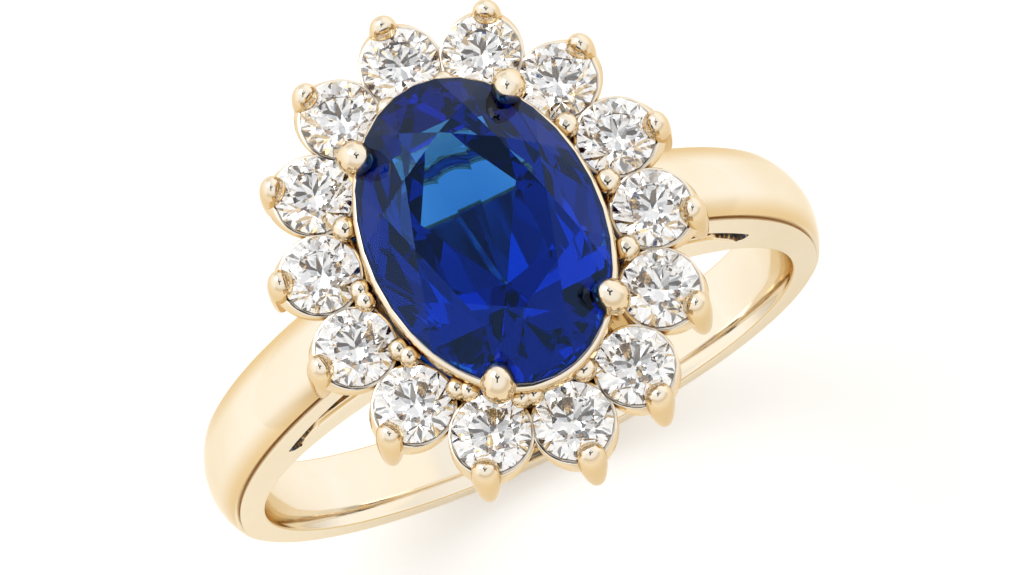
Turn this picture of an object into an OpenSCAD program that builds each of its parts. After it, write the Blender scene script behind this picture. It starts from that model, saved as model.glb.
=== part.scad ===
// Cluster engagement ring: an oval sapphire in four claws, ringed by round diamonds,
// on a cathedral shank with a bridge that closes the finger hole under the head.
// The finger hole's axis is Y, the head points to +Z, and the origin is the hole's centre.

/* [Finger hole] */
// Inside diameter of the ring, US size 7
finger_d = 17.3; // [14:0.1:22]
// Width of the shallow comfort bevel at each edge of the hole
comfort_w = 0.6; // [0.3:0.05:0.9]
// How far the comfort bevel opens the hole's radius at the edge
comfort_h = 0.12; // [0.05:0.01:0.25]

/* [Shank] */
// Width of the band along the finger
band_w = 2.4; // [1.8:0.1:4]
// Height of the band's flat side face
band_edge = 0.95; // [0.7:0.05:1.6]
// Height of the domed outside above the side face
band_crown = 0.4; // [0.2:0.05:0.6]
// Height of each cathedral arm's flat side face
arm_edge = 0.85; // [0.6:0.05:1.2]
// How far inside the diamonds' centres each arm's side face meets the halo
arm_inset = 1.1; // [0.9:0.05:1.6]
// Height of the bridge above the finger hole, under the head
bridge_rise = 1.75; // [1.2:0.05:2.5]
// How far the bridge's curve is centred above the finger hole's
bridge_lift = 1.9; // [1.5:0.1:2.3]
// Angle above the horizontal at which each slot starts
slot_angle = 40; // [34:1:44]
// Diameter of the pierced hole that ends each slot
slot_drill = 0.3; // [0.2:0.05:0.5]

/* [Sapphire] */
// Length of the centre stone, along the finger
stone_l = 9.1; // [7:0.1:11]
// Width of the centre stone
stone_w = 6.5; // [5:0.1:8]
// Height of the centre stone's crown
stone_crown = 1.05; // [0.7:0.05:1.4]
// Depth of the centre stone's pavilion
stone_depth = 3.4; // [2.6:0.1:3.6]
// Thickness of the centre stone's girdle
stone_girdle = 0.1; // [0.05:0.01:0.2]
// Height of the centre stone's girdle above the diamonds' girdles
stone_lift = 1.25; // [1:0.05:2]

/* [Halo] */
// Diameter of each diamond
diamond_d = 2.2; // [1.7:0.05:2.8]
// Smallest space between neighbouring diamonds
diamond_gap = 0.08; // [0.05:0.01:0.3]
// Space between the centre stone's side and the diamonds, seen from above
halo_side_gap = 0.24; // [0.1:0.01:0.6]
// The same space at the centre stone's ends, which overlap the diamonds when it is below zero
halo_end_gap = -0.04; // [-0.2:0.01:0.6]
// Height of the diamonds' girdles above the top of the finger hole
halo_height = 5; // [4.4:0.1:6.5]
// Wall of each collet outside its diamond's girdle
collet_wall = 0.15; // [0.1:0.01:0.3]
// How far each petal-shaped collet drops at its outer tip
petal_drop = 1.05; // [0.6:0.05:1.4]

/* [Prongs and claws] */
// Diameter of an outer prong's wire at the top
prong_d = 0.64; // [0.5:0.02:0.8]
// Diameter of an outer prong's bead
prong_bead = 0.74; // [0.6:0.02:0.9]
// How far the right-hand side's outer prongs are turned clockwise from square
prong_turn = 23; // [0:1:30]
// Diameter of an inner prong's wire
inner_d = 0.48; // [0.36:0.02:0.6]
// Diameter of an inner prong's bead
inner_bead = 0.78; // [0.6:0.02:0.86]
// Diameter of a centre claw's wire
claw_d = 0.68; // [0.5:0.02:0.8]
// Diameter of a centre claw's rounded tip
claw_tip = 0.94; // [0.76:0.02:1.1]

/* [Hidden] */
$fn = 64;
fit = 0.01; // clearance between a stone and its metal
overshoot = 1; // how far a cutting shape runs past what it cuts
gold = [0.93, 0.79, 0.53];
sapphire_blue = [0.05, 0.12, 0.55];
diamond_white = [0.93, 0.96, 1];

// Finger hole and shank
finger_r = finger_d / 2;
band_r = finger_r + band_edge;
dome_r = (pow(band_w / 2, 2) + pow(band_crown, 2)) / (2 * band_crown);
bridge_top = finger_r + bridge_rise;
bridge_r = bridge_top - bridge_lift;

// Diamonds: their proportions are shares of the diameter
diamond_r = diamond_d / 2;
diamond_table = 0.57;
diamond_crown = 0.16 * diamond_d;
diamond_girdle = 0.025 * diamond_d;
diamond_depth = 0.43 * diamond_d;
facet_half = 22.5; // half the turn between main facets
low_facet_reach = 0.24; // where the lower facets end, as a share of the radius

// Heights in the head
girdle_z = finger_r + halo_height;
culet_z = girdle_z - diamond_girdle - diamond_depth;
under_culet = 0.05;
frame_base = culet_z - under_culet;
rim_drop = 0.1;
frame_top = girdle_z - diamond_girdle - rim_drop;
stone_z = girdle_z + stone_lift;
petal_tip = frame_base - petal_drop;

// Halo ellipse, which passes through the diamonds' centres
halo_a = stone_w / 2 + halo_side_gap + diamond_r;
halo_b = stone_l / 2 + halo_end_gap + diamond_r;
collet_r = diamond_r + collet_wall;
seat_clearance = 0.03; // space round a girdle in its seat
seat_hole_share = 0.4; // open back of each seat, as a share of the diamond
rail_h = 0.45;
rail_inset = 0.3;
rail_sink = 0.12;
rail_base = frame_base - rail_sink;

// Each arm is one arc, upright at the band and ending under the halo
arm_meet = halo_a - arm_inset;
shoulder_r = (pow(band_r - arm_meet, 2) + pow(rail_base, 2)) / (2 * (band_r - arm_meet));
shoulder_x = band_r - shoulder_r;
arm_over = 0.3;
arm_sweep = asin((rail_base + arm_over) / (shoulder_r - arm_edge));

// A point of an ellipse; the angle runs clockwise from +Y, seen from above
function oval(a, b, angle) = [a * sin(angle), b * cos(angle)];
function oval_normal(a, b, angle) =
    let (n = [b * sin(angle), a * cos(angle)]) n / norm(n);
function over(p, z) = [p.x, p.y, z];

// Diamonds sit at equal arc lengths round the halo ellipse, from the +Y end
arc_steps = 360;
arc_table = [
    for (i = 0, s = 0; i <= arc_steps;
         s = s + norm(oval(halo_a, halo_b, i + 1) - oval(halo_a, halo_b, i)), i = i + 1)
        [s, i]
];
halo_length = arc_table[arc_steps][0];
halo_count = 2 * floor(halo_length / (2 * (diamond_d + diamond_gap)));
function halo_angle(k) = lookup(k * halo_length / halo_count, arc_table);
function halo_point(k) = oval(halo_a, halo_b, halo_angle(k));
function halo_facing(k) =
    let (n = oval_normal(halo_a, halo_b, halo_angle(k))) atan2(n.y, n.x);

// Outer prongs: one per diamond, square to the halo but for those on the right-hand side
turned_from = 70;
turned_to = 160;
function prong_facing(k) =
    let (at = halo_angle(k))
    halo_facing(k) - (at > turned_from && at < turned_to ? prong_turn : 0);
function prong_point(k, out) =
    halo_point(k) + out * [cos(prong_facing(k)), sin(prong_facing(k))];

// Outer prongs: how far from the diamond's centre, and at which heights
prong_shoulder_drop = 0.1; // wire's end below the bead's middle
prong_foot_share = 0.72; // foot's thickness as a share of the top's
prong_proud = 0.05; // foot below the petal's tip
prong_out = collet_r + 0.02;
prong_foot_out = collet_r - 0.12;
prong_bead_out = diamond_r + 0.03;
prong_bead_z = girdle_z + 0.26;
prong_foot = petal_tip - prong_proud;

// Claws: where each stands round the sapphire, and how it leans
claw_angles = [44, 136, 206, 316];
claw_r = claw_d / 2;
claw_stand = 0.3; // claw's axis outside the stone's outline
claw_curl = 0.16; // tip's shift inwards and upwards
claw_let_in = 0.1; // depth of each foot in the bridge
claw_above = 0.1; // end of the wire above the girdle
claw_base_a = 0.52 * stone_w / 2;
claw_base_b = 0.56 * stone_l / 2;
claw_foot = bridge_top - claw_let_in;
function claw_bottom(angle) = over(oval(claw_base_a, claw_base_b, angle), claw_foot);
function claw_shoulder(angle) =
    over(oval(stone_w / 2, stone_l / 2, angle)
         + claw_stand * oval_normal(stone_w, stone_l, angle), stone_z + claw_above);
function claw_at(angle, z) =
    let (p = claw_bottom(angle), q = claw_shoulder(angle))
    p + (q - p) * (z - p.z) / (q.z - p.z);

// The halo's rail is let into the claws as far as their centres
rail_middle = rail_base + rail_h / 2;
rail_in_a = claw_at(90, rail_middle).x;
rail_in_b = claw_at(0, rail_middle).y;

// Inner prongs: one in each gap between diamonds, unless a claw fills the gap
inner_gap = 0.05;
function gap_point(k) =
    let (p = halo_point(k), q = halo_point(k + 1), along = (q - p) / norm(q - p))
    (p + q) / 2
    - (sqrt(pow(collet_r, 2) - pow(norm(q - p) / 2, 2)) + inner_d / 2 + inner_gap)
      * [-along.y, along.x];
function claw_distance(p) =
    min([for (c = claw_angles)
        let (q = claw_at(c, prong_bead_z)) norm(p - [q.x, q.y])]);
inner_gaps = [
    for (k = [0 : halo_count - 1])
        if (claw_distance(gap_point(k)) > (claw_d + inner_bead) / 2) k
];
inner_bead_z = girdle_z + 0.24;

// Rails of the centre basket
seat_rail_w = 0.5;
seat_rail_h = 0.45;
seat_rail_out = 0.12;
seat_rail_drop = 0.12; // rail's top below the stone's girdle
seat_rail_top = stone_z - stone_girdle - seat_rail_drop;
base_rail_w = 0.62;
base_rail_h = 0.75;
base_rail_proud = 0.4; // rail's top above the bridge
base_rail_top = bridge_top + base_rail_proud;

function two_digits(i) = i < 10 ? str("0", i) : str(i);
function numbered(name, count) = [for (i = [1 : count]) str(name, "_", two_digits(i))];
DIAMONDS = numbered("diamond", halo_count);
OUTER_PRONGS = numbered("outer_prong", halo_count);
INNER_PRONGS = numbered("inner_prong", len(inner_gaps));
CLAWS = numbered("claw", len(claw_angles));

// ---------------------------------------------------------------- shared shapes

// Round wire from p to q
module wire(p, q, r_start, r_end) {
    d = q - p;
    translate(p)
        rotate([0, acos(d.z / norm(d)), atan2(d.y, d.x)])
            cylinder(h = norm(d), r1 = r_start, r2 = r_end);
}

// Flat band between two ovals, with its top at z = top
module oval_band(out_a, out_b, in_a, in_b, height, top) {
    outer = [for (t = [0 : 5 : 355]) oval(out_a, out_b, t)];
    inner = [for (t = [0 : 5 : 355]) oval(in_a, in_b, t)];
    translate([0, 0, top - height])
        linear_extrude(height = height)
            difference() {
                polygon(outer);
                polygon(inner);
            }
}

// Flat oval ring of one width
module oval_ring(a, b, width, height, top) {
    oval_band(a, b, a - width, b - width, height, top);
}

// Round brilliant with its girdle's top edge at z = 0; grow makes it larger all over
module brilliant(grow = 0) {
    r = diamond_r + grow;
    half = facet_half;
    star_r = r * (diamond_table * cos(half) + 1) / 2;
    star_z = (diamond_crown + grow) * (1 - star_r * cos(half) / r) / (1 - diamond_table);
    low_r = low_facet_reach * r;
    low_z = (diamond_depth + grow) * (1 - low_r * cos(half) / r);
    function round(radius, angle, z) = [radius * cos(angle), radius * sin(angle), z];
    points = concat(
        [for (i = [0 : 7]) round(r * diamond_table, 45 * i, diamond_crown + grow)],
        [for (i = [0 : 7]) round(star_r, 45 * i + half, star_z)],
        [for (i = [0 : 15]) round(r, half * i, 0)],
        [for (i = [0 : 15]) round(r, half * i, -diamond_girdle)],
        [for (i = [0 : 7]) round(low_r, 45 * i + half, -diamond_girdle - low_z)],
        [[0, 0, -diamond_girdle - diamond_depth - grow]]);
    cloud(points);
}

// Convex solid round a list of points
module cloud(points) {
    hull()
        polyhedron(points = points,
                   faces = [for (i = [0 : 3 : len(points) - 3]) [i, i + 1, i + 2]]);
}

// Mixed-cut oval with its girdle's top edge at z = 0: brilliant crown, stepped pavilion
module oval_cut(grow = 0) {
    a = stone_w / 2 + grow;
    b = stone_l / 2 + grow;
    half = facet_half;
    table = 0.6;
    upper_step = [0.21, 0.34]; // inset and depth of each step, as shares
    lower_step = [0.52, 0.66];
    star = (table * cos(half) + 1) / 2;
    star_z = (stone_crown + grow) * (1 - star * cos(half)) / (1 - table);
    step_depth = stone_depth + grow;
    keel = b - a;
    points = concat(
        [for (i = [0 : 7]) over(oval(a * table, b * table, 45 * i), stone_crown + grow)],
        [for (i = [0 : 7]) over(oval(a * star, b * star, 45 * i + half), star_z)],
        [for (i = [0 : 31]) over(oval(a, b, half * i / 2), 0)],
        [for (i = [0 : 31]) over(oval(a, b, half * i / 2), -stone_girdle)],
        [for (i = [0 : 15]) over(oval(a - upper_step[0] * a, b - upper_step[0] * a, half * i),
                                 -stone_girdle - upper_step[1] * step_depth)],
        [for (i = [0 : 7]) over(oval(a - lower_step[0] * a, b - lower_step[0] * a, 45 * i + half),
                                -stone_girdle - lower_step[1] * step_depth)],
        [for (side = [-1, 1]) [0, side * keel, -stone_girdle - step_depth]]);
    cloud(points);
}

// ---------------------------------------------------------------- shank

// Band section: flat sides reaching inwards from x = 0, and a domed outside
module domed_section(depth) {
    intersection() {
        translate([-depth, -band_w / 2])
            square([depth + band_crown, band_w]);
        translate([band_crown - dome_r, 0])
            circle(r = dome_r);
    }
}

// Lower half of the band
module lower_band() {
    rotate([90, 180, 0])
        rotate_extrude(angle = 180)
            translate([band_r, 0])
                domed_section(band_edge);
}

// One cathedral arm, on the +X side
module arm() {
    translate([shoulder_x, 0, 0])
        rotate([90, 0, 0])
            rotate_extrude(angle = arm_sweep)
                translate([shoulder_r, 0])
                    domed_section(arm_edge);
}

// Solid part of the shoulder, between the finger hole and the slot
module shoulder_web() {
    reach = 2 * band_r;
    rotate([90, 0, 0])
        linear_extrude(height = band_w, center = true)
            intersection() {
                translate([shoulder_x, 0])
                    circle(r = shoulder_r - arm_edge / 2);
                polygon([[0, 0], [reach, 0], reach * [cos(slot_angle), sin(slot_angle)]]);
            }
}

// Disc whose rim is the bridge over the finger
module bridge() {
    translate([0, 0, bridge_lift])
        rotate([90, 0, 0])
            cylinder(h = band_w, r = bridge_r, center = true);
}

// Finger hole with a comfort bevel at both edges
module finger_hole() {
    edge = band_w / 2;
    mouth = edge + overshoot;
    mouth_r = finger_r + comfort_h * (mouth - edge + comfort_w) / comfort_w;
    rotate([90, 0, 0])
        rotate_extrude()
            polygon([[0, -mouth], [mouth_r, -mouth], [finger_r, comfort_w - edge],
                     [finger_r, edge - comfort_w], [mouth_r, mouth], [0, mouth]]);
}

// Pierced hole at the start of a slot, between the bridge and the arm
module slot_end() {
    towards = [cos(slot_angle), sin(slot_angle)];
    to_bridge = bridge_lift * towards.y;
    bridge_at = to_bridge + sqrt(pow(to_bridge, 2) + pow(bridge_r, 2) - pow(bridge_lift, 2));
    to_arm = shoulder_x * towards.x;
    arm_at = to_arm + sqrt(pow(to_arm, 2) + pow(shoulder_r - arm_edge, 2) - pow(shoulder_x, 2));
    middle = (bridge_at + arm_at) / 2;
    translate([middle * towards.x, 0, middle * towards.y])
        rotate([90, 0, 0])
            cylinder(h = band_w + 2 * overshoot, d = slot_drill, center = true);
}

module shank() {
    color(gold)
        difference() {
            union() {
                lower_band();
                bridge();
                for (side = [0, 1])
                    mirror([side, 0, 0]) {
                        arm();
                        shoulder_web();
                    }
            }
            finger_hole();
            for (side = [0, 1])
                mirror([side, 0, 0])
                    slot_end();
            translate([-2 * halo_a, -band_w, rail_base])
                cube([4 * halo_a, 2 * band_w, 4 * overshoot]);
        }
}

// ---------------------------------------------------------------- halo

// Outside of one collet: a drum whose foot slopes down to a petal's tip
module collet(k) {
    side = collet_r + overshoot;
    side_tip = frame_base - petal_drop * side / collet_r;
    translate(over(halo_point(k), 0))
        rotate(prong_facing(k))
            intersection() {
                translate([0, 0, petal_tip - overshoot])
                    cylinder(h = girdle_z - petal_tip + overshoot, r = collet_r);
                rotate([90, 0, 0])
                    linear_extrude(height = 2 * side, center = true)
                        polygon([[-side, frame_top], [-side, frame_base], [0, frame_base],
                                 [side, side_tip], [side, frame_top]]);
            }
}

// Seat for one diamond, with an open back
module diamond_seat(k) {
    seat_r = diamond_r + seat_clearance;
    hole_r = seat_hole_share * diamond_r;
    seat_z = girdle_z - diamond_girdle;
    seat_h = diamond_depth * (1 - hole_r / seat_r);
    translate(over(halo_point(k), 0))
        rotate_extrude()
            polygon([[0, petal_tip], [hole_r, petal_tip], [hole_r, seat_z - seat_h],
                     [seat_r, seat_z], [0, seat_z]]);
}

module halo_frame() {
    color(gold)
        difference() {
            union() {
                for (k = [0 : halo_count - 1])
                    collet(k);
                oval_band(halo_a - rail_inset, halo_b - rail_inset, rail_in_a, rail_in_b,
                          rail_h, rail_base + rail_h);
            }
            for (k = [0 : halo_count - 1]) {
                diamond_seat(k);
                outer_prong_wire(k);
            }
            for (k = inner_gaps)
                inner_prong_wire(k);
            for (angle = claw_angles)
                claw_wire(angle);
        }
}

module diamond(k) {
    color(diamond_white)
        translate(over(halo_point(k), girdle_z))
            rotate(prong_facing(k))
                brilliant();
}

module diamond_space(k) {
    translate(over(halo_point(k), girdle_z))
        rotate(prong_facing(k))
            brilliant(fit);
}

module outer_prong_wire(k) {
    wire(over(prong_point(k, prong_foot_out), prong_foot),
         over(prong_point(k, prong_out), prong_bead_z - prong_shoulder_drop),
         prong_foot_share * prong_d / 2, prong_d / 2);
}

module outer_prong(k) {
    color(gold)
        difference() {
            union() {
                outer_prong_wire(k);
                translate(over(prong_point(k, prong_bead_out), prong_bead_z))
                    sphere(d = prong_bead);
            }
            diamond_space(k);
        }
}

module inner_prong_wire(k) {
    translate(over(gap_point(k), rail_base))
        cylinder(h = inner_bead_z - rail_base, d = inner_d);
}

module inner_prong(k) {
    color(gold)
        difference() {
            union() {
                inner_prong_wire(k);
                translate(over(gap_point(k), inner_bead_z))
                    sphere(d = inner_bead);
            }
            diamond_space(k);
            diamond_space((k + 1) % halo_count);
        }
}

// ---------------------------------------------------------------- centre basket

module sapphire() {
    color(sapphire_blue)
        translate([0, 0, stone_z])
            oval_cut();
}

module sapphire_space() {
    translate([0, 0, stone_z])
        oval_cut(fit);
}

module claw_wire(angle) {
    wire(claw_bottom(angle), claw_shoulder(angle), claw_r, claw_r);
}

module claw(angle) {
    tip = claw_shoulder(angle) - claw_curl * over(oval_normal(stone_w, stone_l, angle), -1);
    color(gold)
        difference() {
            union() {
                claw_wire(angle);
                translate(tip)
                    sphere(d = claw_tip);
            }
            sapphire_space();
            seat_rail_wire();
        }
}

// Oval wire that every claw is notched for
module seat_rail_wire() {
    oval_ring(stone_w / 2 + seat_rail_out, stone_l / 2 + seat_rail_out,
              seat_rail_w, seat_rail_h, seat_rail_top);
}

// The wire under the sapphire's girdle, cut as its bearing
module seat_rail() {
    color(gold)
        difference() {
            seat_rail_wire();
            sapphire_space();
        }
}

// Oval foot of the basket, saddled on the bridge
module base_rail() {
    color(gold)
        difference() {
            oval_ring(claw_base_a + base_rail_w / 2, claw_base_b + base_rail_w / 2,
                      base_rail_w, base_rail_h, base_rail_top);
            bridge();
            for (angle = claw_angles)
                claw_wire(angle);
        }
}

// ---------------------------------------------------------------- nodes

shank();
halo_frame();
seat_rail();
base_rail();
sapphire();
for (i = [0 : len(CLAWS) - 1])
    claw(claw_angles[i]);
for (i = [0 : halo_count - 1]) {
    diamond(i);
    outer_prong(i);
}
for (i = [0 : len(INNER_PRONGS) - 1])
    inner_prong(inner_gaps[i]);
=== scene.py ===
"""Looks of a cluster engagement ring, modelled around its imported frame.

The ring stands upright on a pale bench: finger hole along Y, head towards +Z.
Sizes are in millimetres and are turned into metres where a piece is made.
"""

import logging
import math
from collections.abc import Callable, Iterator
from contextlib import contextmanager
from dataclasses import dataclass
from enum import Enum

import bmesh
import bpy
from mathutils import Matrix, Vector


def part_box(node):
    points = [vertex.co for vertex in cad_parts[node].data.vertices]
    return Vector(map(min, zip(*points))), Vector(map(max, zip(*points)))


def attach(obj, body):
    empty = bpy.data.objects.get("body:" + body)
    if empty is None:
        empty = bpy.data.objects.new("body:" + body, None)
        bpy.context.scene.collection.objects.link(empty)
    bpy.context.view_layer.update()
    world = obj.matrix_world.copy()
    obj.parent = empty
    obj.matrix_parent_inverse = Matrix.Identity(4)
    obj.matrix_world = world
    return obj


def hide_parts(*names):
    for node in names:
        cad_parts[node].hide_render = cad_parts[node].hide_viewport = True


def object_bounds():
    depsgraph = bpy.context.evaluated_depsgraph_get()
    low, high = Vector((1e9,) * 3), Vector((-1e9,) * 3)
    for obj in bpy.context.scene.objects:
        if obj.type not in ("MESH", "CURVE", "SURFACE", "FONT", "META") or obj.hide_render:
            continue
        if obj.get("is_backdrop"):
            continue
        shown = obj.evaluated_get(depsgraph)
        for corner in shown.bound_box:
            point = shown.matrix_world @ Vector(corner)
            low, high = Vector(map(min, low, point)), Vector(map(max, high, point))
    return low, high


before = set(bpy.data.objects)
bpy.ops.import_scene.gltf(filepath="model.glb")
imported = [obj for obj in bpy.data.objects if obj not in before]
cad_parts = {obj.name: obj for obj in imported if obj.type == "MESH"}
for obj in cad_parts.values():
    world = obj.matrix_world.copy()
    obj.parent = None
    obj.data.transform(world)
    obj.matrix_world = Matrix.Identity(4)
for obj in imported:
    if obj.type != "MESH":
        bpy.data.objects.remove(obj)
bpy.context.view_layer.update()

Piece = bpy.types.Object
Tree = bpy.types.NodeTree
Socket = bpy.types.NodeSocket
Colour = tuple[float, float, float]

MM = 0.001
DOUBLED = 0.0005 * MM
ALONG_Y = Vector((0, 1, 0))
BODY = "root"
log = logging.getLogger("ring")


# ------------------------------------------------------------------ the bench: modelling by hand


def put_tools_down() -> None:
    """Leave edit mode and select nothing."""
    if bpy.context.mode != "OBJECT":
        bpy.ops.object.mode_set(mode="OBJECT")
    bpy.ops.object.select_all(action="DESELECT")


def take(piece: Piece) -> None:
    """Make one piece the only selected and the active one.

    Args:
        piece: The object to pick up.
    """
    put_tools_down()
    piece.select_set(True)
    bpy.context.view_layer.objects.active = piece


def named(name: str) -> Piece:
    """Name the primitive that was just added.

    Args:
        name: The piece's name.

    Returns:
        The new object.
    """
    piece = bpy.context.active_object
    piece.name = name
    piece.data.name = name
    return piece


@contextmanager
def editing(piece: Piece) -> Iterator[None]:
    """Hold a piece in edit mode.

    Args:
        piece: The object to edit.
    """
    take(piece)
    bpy.ops.object.mode_set(mode="EDIT")
    yield
    bpy.ops.object.mode_set(mode="OBJECT")


def pick(piece: Piece, test: Callable[[Vector], bool], kind: str = "VERT") -> None:
    """Select the corners or faces whose place passes a test.

    Args:
        piece: The object in edit mode.
        test: Says whether a point, in millimetres, is wanted.
        kind: VERT for corners or FACE for faces, by their middles.
    """
    bpy.ops.mesh.select_mode(type=kind)
    bpy.ops.mesh.select_all(action="DESELECT")
    mesh = bmesh.from_edit_mesh(piece.data)
    if kind == "FACE":
        for face in mesh.faces:
            face.select_set(test(face.calc_center_median() / MM))
    else:
        for vert in mesh.verts:
            vert.select_set(test(vert.co / MM))
    mesh.select_flush_mode()
    bmesh.update_edit_mesh(piece.data)


def tidy_faces(piece: Piece) -> None:
    """Merge doubled corners and turn every face outwards.

    Args:
        piece: A closed mesh.
    """
    with editing(piece):
        bpy.ops.mesh.select_all(action="SELECT")
        bpy.ops.mesh.remove_doubles(threshold=DOUBLED)
        bpy.ops.mesh.normals_make_consistent(inside=False)


def settle(piece: Piece) -> None:
    """Put a piece's place, turn and scale into its mesh.

    Args:
        piece: The object to settle.
    """
    take(piece)
    bpy.ops.object.transform_apply(location=True, rotation=True, scale=True)


def apply_modifier(piece: Piece, kind: str, **settings: object) -> None:
    """Add one modifier and apply it.

    Args:
        piece: The object to change.
        kind: Blender's name for the modifier's type.
        settings: Values for the modifier.
    """
    take(piece)
    modifier = piece.modifiers.new(kind.lower(), kind)
    for name, value in settings.items():
        setattr(modifier, name, value)
    bpy.ops.object.modifier_apply(modifier=modifier.name)


def round_off(piece: Piece, levels: int = 2) -> None:
    """Smooth a cage into a cast, flowing surface.

    Args:
        piece: The cage.
        levels: How many times it is subdivided.
    """
    apply_modifier(piece, "SUBSURF", levels=levels, render_levels=levels)
    take(piece)
    bpy.ops.object.shade_smooth()


def polish_flats(piece: Piece, sharp: float) -> None:
    """Shade curved walls smoothly and keep flat faces flat.

    Args:
        piece: The object to shade.
        sharp: Angle in degrees past which an edge stays crisp.
    """
    take(piece)
    bpy.ops.object.shade_smooth_by_angle(angle=math.radians(sharp))
    apply_modifier(piece, "WEIGHTED_NORMAL", keep_sharp=True, weight=100)


class Cut(Enum):
    """What a boolean does with its tool."""

    JOIN = "UNION"
    REMOVE = "DIFFERENCE"


def carve(piece: Piece, tools: list[Piece], cut: Cut) -> None:
    """Join tools to a piece or remove them from it, and clear them away.

    Args:
        piece: The object that stays.
        tools: Closed meshes.
        cut: Whether they are joined or removed.
    """
    for tool in tools:
        apply_modifier(piece, "BOOLEAN", object=tool, operation=cut.value, solver="MANIFOLD")
        bpy.data.objects.remove(tool)


def copy_of(piece: Piece, name: str) -> Piece:
    """Copy a piece with a mesh of its own.

    Args:
        piece: The pattern.
        name: The copy's name.

    Returns:
        The copy.
    """
    take(piece)
    bpy.ops.object.duplicate(linked=False)
    return named(name)


def lathe(
    name: str,
    outline: list[tuple[float, float]],
    steps: int,
    axis: Vector = Vector((0, 0, 1)),
) -> Piece:
    """Turn a closed outline once round an axis through the origin.

    Args:
        name: The piece's name.
        outline: Corners (out, up) of the section, in millimetres, in order.
        steps: Number of steps round.
        axis: Z or Y, which is the outline's up; out is along +X.

    Returns:
        A closed ring-shaped mesh.
    """
    piece = section(name, [Vector((out, 0, 0)) + up * axis for out, up in outline])
    with editing(piece):
        bpy.ops.mesh.select_all(action="SELECT")
        bpy.ops.mesh.delete(type="ONLY_FACE")
        bpy.ops.mesh.select_all(action="SELECT")
        bpy.ops.mesh.spin(steps=steps, angle=math.tau, center=(0, 0, 0), axis=axis)
    tidy_faces(piece)
    return piece


def rod(
    name: str,
    radius: float,
    length: float,
    sides: int,
    middle: Vector = Vector((0, 0, 0)),
    lying: bool = False,
    caps: str = "NGON",
) -> Piece:
    """Add a settled cylinder to work on.

    Args:
        name: The piece's name.
        radius: Its radius, in millimetres.
        length: Its length, in millimetres.
        sides: Number of flats round it.
        middle: Its middle, in millimetres.
        lying: Whether it lies along Y instead of standing.
        caps: How its ends are filled.

    Returns:
        The cylinder.
    """
    put_tools_down()
    bpy.ops.mesh.primitive_cylinder_add(
        vertices=sides,
        radius=radius * MM,
        depth=length * MM,
        end_fill_type=caps,
        location=middle * MM,
        rotation=(math.pi / 2 if lying else 0, 0, 0),
    )
    piece = named(name)
    settle(piece)
    return piece


def section(name: str, corners: list[Vector]) -> Piece:
    """Make one flat face by moving the corners of a disc into place.

    Args:
        name: The piece's name.
        corners: Where each corner goes, in millimetres.

    Returns:
        An object with a single face.
    """
    put_tools_down()
    bpy.ops.mesh.primitive_circle_add(vertices=len(corners), radius=MM, fill_type="NGON")
    piece = named(name)
    with editing(piece):
        bpy.ops.mesh.select_mode(type="VERT")
        for index, corner in enumerate(corners):
            bpy.ops.mesh.select_all(action="DESELECT")
            mesh = bmesh.from_edit_mesh(piece.data)
            mesh.verts.ensure_lookup_table()
            vert = mesh.verts[index]
            vert.select_set(True)
            bpy.ops.transform.translate(value=corner * MM - vert.co)
    return piece


@dataclass(frozen=True)
class Station:
    """One section of a drawn wire that bends in the XZ plane, in millimetres.

    Args:
        x: Place outwards.
        z: Height.
        lean: Degrees that the section's outward side is tipped up.
        deep: Half its size in the plane of the bend.
        wide: Half its size across.
    """

    x: float
    z: float
    lean: float
    deep: float
    wide: float


def draw_wire(name: str, stations: list[Station], sides: int = 10) -> Piece:
    """Extrude a round section through a row of stations and smooth the result.

    Args:
        name: The piece's name.
        stations: The sections, in order.
        sides: Corners of each section's cage.

    Returns:
        A smooth closed wire in its own frame.
    """
    put_tools_down()
    bpy.ops.mesh.primitive_circle_add(vertices=sides, radius=MM, fill_type="NGON")
    piece = named(name)
    before = Station(0, 0, 0, 1, 1)
    with editing(piece):
        bpy.ops.mesh.select_all(action="SELECT")
        for index, station in enumerate(stations):
            if index:
                bpy.ops.mesh.extrude_region_move()
            middle = Vector((before.x, 0, before.z)) * MM
            move = Vector((station.x - before.x, 0, station.z - before.z)) * MM
            growth = (station.deep / before.deep, station.wide / before.wide, 1)
            turn(-before.lean, middle)
            bpy.ops.transform.resize(value=growth, center_override=middle)
            turn(station.lean, middle)
            bpy.ops.transform.translate(value=move)
            before = station
    tidy_faces(piece)
    round_off(piece)
    return piece


def turn(degrees: float, middle: Vector) -> None:
    """Tip what is selected in the XZ plane, outward side up.

    Args:
        degrees: The angle.
        middle: The point it turns about, in metres.
    """
    if degrees:
        angle = math.radians(degrees)
        bpy.ops.transform.rotate(value=angle, orient_axis="Y", center_override=middle)


def oval_wire(
    name: str, half_x: float, half_y: float, height: float, thick: float, tall: float
) -> Piece:
    """Bend a rounded wire into an oval.

    Args:
        name: The piece's name.
        half_x: Half the oval's width to the wire's middle.
        half_y: Half the oval's length to the wire's middle.
        height: Height of the wire's middle.
        thick: The wire's thickness.
        tall: The wire's height.

    Returns:
        A closed mesh.
    """
    put_tools_down()
    bpy.ops.curve.primitive_bezier_circle_add(radius=MM, location=(0, 0, height * MM))
    piece = named(name)
    piece.scale = (half_x, half_y, 1)
    settle(piece)
    for point in piece.data.splines[0].bezier_points:
        point.radius = 1
    piece.data.resolution_u = 32
    piece.data.bevel_resolution = 5
    piece.data.bevel_depth = thick / 2 * MM
    piece.data.extrude = (tall - thick) / 2 * MM
    take(piece)
    bpy.ops.object.convert(target="MESH")
    piece = named(name)
    settle(piece)
    tidy_faces(piece)
    polish_flats(piece, 60)
    return piece


# ------------------------------------------------------------------ finishes


MIX_AMOUNT, MIX_UNDER, MIX_OVER, MIX_RESULT = 0, 6, 7, 2


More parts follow.
